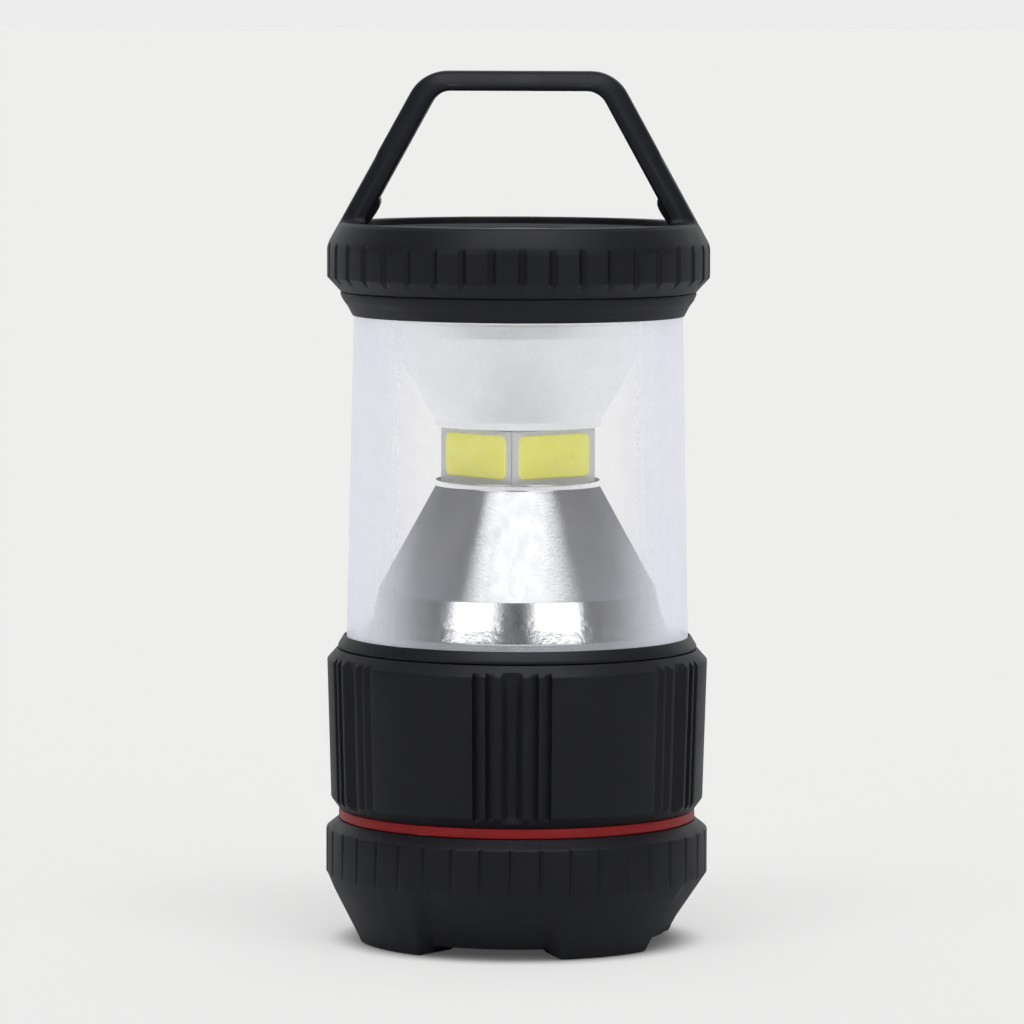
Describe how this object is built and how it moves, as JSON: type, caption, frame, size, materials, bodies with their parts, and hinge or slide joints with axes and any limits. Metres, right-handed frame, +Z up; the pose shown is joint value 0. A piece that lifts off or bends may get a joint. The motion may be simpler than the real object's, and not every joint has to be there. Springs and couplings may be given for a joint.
{
  "type": "camping lantern",
  "caption": "Battery camping lantern: frosted lens tube, metallised reflectors round a square LED post, ribbed grip, screw-off base cap on feet, fixed trapezoid carry handle, push button.",
  "frame": {"origin": "centre of the circle that the four feet stand on, on the floor", "axes": "+Z up through the handle, +X to the right along the handle bar, -Y to the front"},
  "size_m": [0.095, 0.095, 0.2162],
  "materials": {
    "soft_touch_plastic": "soft-touch matte",
    "grip_rubber": "matte",
    "red_silicone": "matte",
    "clear_frosted_plastic": "frosted",
    "metallised_plastic": "vacuum-metallised mirror",
    "led_board_white": "solder mask",
    "phosphor": "satin silicone",
    "black_plastic": "satin",
    "circuit_board": "solder mask",
    "heat_sink_aluminium": "satin",
    "zinc_steel": "zinc plated",
    "contact_brass": "satin",
    "silicone_white": "matte",
    "cell_can": "printed jacket",
    "wire_red": "matte",
    "wire_black": "matte"
  },
  "bodies": {
    "lantern_body": {"battery_housing": "black_plastic", "board_screw_1": "zinc_steel", "board_screw_2": "zinc_steel", "board_screw_3": "zinc_steel", "button_spring": "zinc_steel", "cell_1": "cell_can", "cell_2": "cell_can", "cell_3": "cell_can", "collar_screw_1": "zinc_steel", "collar_screw_2": "zinc_steel", "collar_screw_3": "zinc_steel", "driver_board": "circuit_board", "driver_capacitor": "zinc_steel", "driver_chip": "black_plastic", "driver_inductor": "black_plastic", "driver_screw_1": "zinc_steel", "driver_screw_2": "zinc_steel", "driver_screw_3": "zinc_steel", "grip_sleeve": "grip_rubber", "handle_collar": "soft_touch_plastic", "heat_sink": "heat_sink_aluminium", "lead_black": "wire_black", "lead_red": "wire_red", "led_panel_1": "led_board_white", "led_panel_2": "led_board_white", "led_panel_3": "led_board_white", "led_panel_4": "led_board_white", "led_phosphor_1": "phosphor", "led_phosphor_2": "phosphor", "led_phosphor_3": "phosphor", "led_phosphor_4": "phosphor", "lens_bezel": "soft_touch_plastic", "lens_collar": "soft_touch_plastic", "lens_gasket_lower": "silicone_white", "lens_gasket_upper": "silicone_white", "lens_tube": "clear_frosted_plastic", "lower_reflector": "metallised_plastic", "reflector_screw_1": "zinc_steel", "reflector_screw_2": "zinc_steel", "reflector_screw_3": "zinc_steel", "return_strip": "contact_brass", "seal_ring": "red_silicone", "switch_board": "circuit_board", "tact_switch": "black_plastic", "top_plate": "soft_touch_plastic", "upper_contact_bridge": "contact_brass", "upper_contact_plus": "contact_brass", "upper_reflector": "metallised_plastic", "upper_spring": "zinc_steel"},
    "power_button": {"power_button": "grip_rubber"},
    "contact_tray": {"contact_tray": "black_plastic", "lower_contact_bridge": "contact_brass", "lower_contact_minus": "contact_brass", "lower_spring_1": "zinc_steel", "lower_spring_2": "zinc_steel"},
    "base_cap": {"base_cap": "soft_touch_plastic"}
  },
  "joints": [
    {"name": "power_button_press", "type": "slide", "parent": "lantern_body", "child": "power_button", "axis": [0, 0, -1], "range_m": [0, 0.0012], "stiffness_N_per_m": 1500, "springref_m": -0.001, "deforming": ["button_spring"]},
    {"name": "contact_tray_draw", "type": "slide", "parent": "lantern_body", "child": "contact_tray", "axis": [0, 0, -1], "range_m": [0, 0.006]},
    {"name": "base_cap_unscrew", "type": "hinge", "parent": "contact_tray", "child": "base_cap", "pos_m": [0, 0, 0.022], "axis": [0, 0, -1], "range_deg": [0, 720]}
  ],
  "couplings": [
    {"joint": "contact_tray_draw", "follows": "base_cap_unscrew", "m_per_rad": 0.000477}
  ]
}
